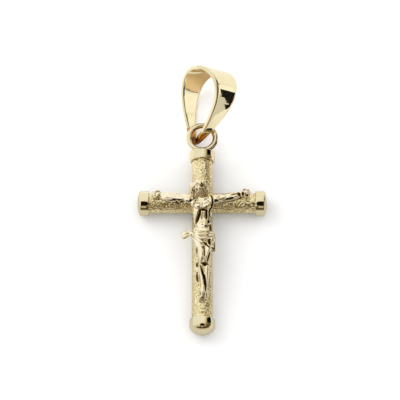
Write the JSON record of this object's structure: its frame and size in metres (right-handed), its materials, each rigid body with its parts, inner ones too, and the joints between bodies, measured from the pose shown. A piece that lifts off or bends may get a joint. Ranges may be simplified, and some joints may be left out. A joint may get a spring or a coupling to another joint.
{
  "type": "crucifix pendant",
  "caption": "Small yellow-gold crucifix pendant: stippled round-tube cross, domed end caps, cast corpus in relief, eye ring and tapered strap bail, lying on its back.",
  "frame": {"origin": "centre of the pendant's box in X and Y, on the surface that it lies on", "axes": "+Y along the upright towards the bail, +X along the crossbar to the viewer's right, +Z out of the front of the cross"},
  "size_m": [0.0142, 0.0306, 0.0064],
  "materials": {
    "stippled_gold": "yellow gold, finely stippled, sparkling",
    "polished_gold": "yellow gold, mirror polished",
    "cast_gold": "yellow gold, cast and bright dipped, satin with polished high points"
  },
  "bodies": {
    "root": {"cross": "stippled_gold", "left_cap": "polished_gold", "right_cap": "polished_gold", "foot_cap": "polished_gold", "head_cap": "polished_gold", "bail": "polished_gold", "corpus": "cast_gold"}
  },
  "joints": []
}
